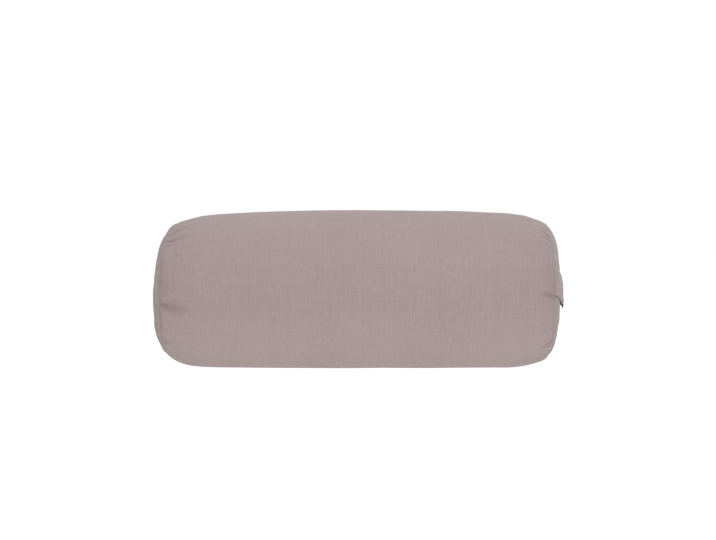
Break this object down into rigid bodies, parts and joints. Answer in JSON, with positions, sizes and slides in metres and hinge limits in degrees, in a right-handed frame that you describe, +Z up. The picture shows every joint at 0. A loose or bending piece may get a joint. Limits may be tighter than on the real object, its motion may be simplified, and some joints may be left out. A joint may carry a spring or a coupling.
{
  "type": "yoga cushion",
  "caption": "Round stuffed yoga bolster: a drawn-in fabric tube with swelling end panels, a carrying strap across one end and a zipped removable cover over a filled inner cushion.",
  "frame": {"origin": "middle of the flat patch on the underside that the bolster rests on", "axes": "+X along the bolster towards the end with the carrying strap, +Y towards the zip side, +Z up"},
  "size_m": [0.6054, 0.2422, 0.2329],
  "materials": {
    "canvas": "plain-woven dusty-rose cotton canvas, matt",
    "woven_tab": "dark woven tab, bare",
    "satin": "white satin, bare",
    "cover_thread": "overlock thread in the canvas's colour",
    "zip_tape": "woven polyester tape",
    "zip_coil": "nylon coil in the tape's colour",
    "zip_metal": "plated zinc, softly worn",
    "liner_cotton": "undyed cotton",
    "liner_thread": "undyed thread",
    "filling": "loose plant fibre"
  },
  "bodies": {
    "bolster": {"cover_body_panel": "canvas", "cover_end_panel_left": "canvas", "cover_end_panel_right": "canvas", "handle_strap": "canvas", "side_label": "woven_tab", "care_label": "satin", "cover_overlock_left": "cover_thread", "cover_overlock_right": "cover_thread", "closing_seam_binding_left": "cover_thread", "closing_seam_binding_right": "cover_thread", "zip_tape_upper": "zip_tape", "zip_tape_lower": "zip_tape", "zip_coil_upper": "zip_coil", "zip_coil_lower": "zip_coil", "zip_top_stop_upper": "zip_metal", "zip_top_stop_lower": "zip_metal", "zip_bottom_stop": "zip_metal", "liner_body": "liner_cotton", "liner_end_left": "liner_cotton", "liner_end_right": "liner_cotton", "liner_overlock_left": "liner_thread", "liner_overlock_right": "liner_thread", "liner_closing_seam": "liner_thread", "filling": "filling"},
    "slider": {"zip_slider": "zip_metal"},
    "puller": {"zip_puller": "zip_metal"}
  },
  "joints": [
    {"name": "zip_slide", "type": "slide", "parent": "bolster", "child": "slider", "axis": [1, 0, 0], "range_m": [-0.38, 0]},
    {"name": "puller_swing", "type": "hinge", "parent": "slider", "child": "puller", "pos_m": [0.19, 0.11133, 0.15791], "axis": [0, 0.3827, -0.9239], "range_deg": [0, 170]}
  ]
}
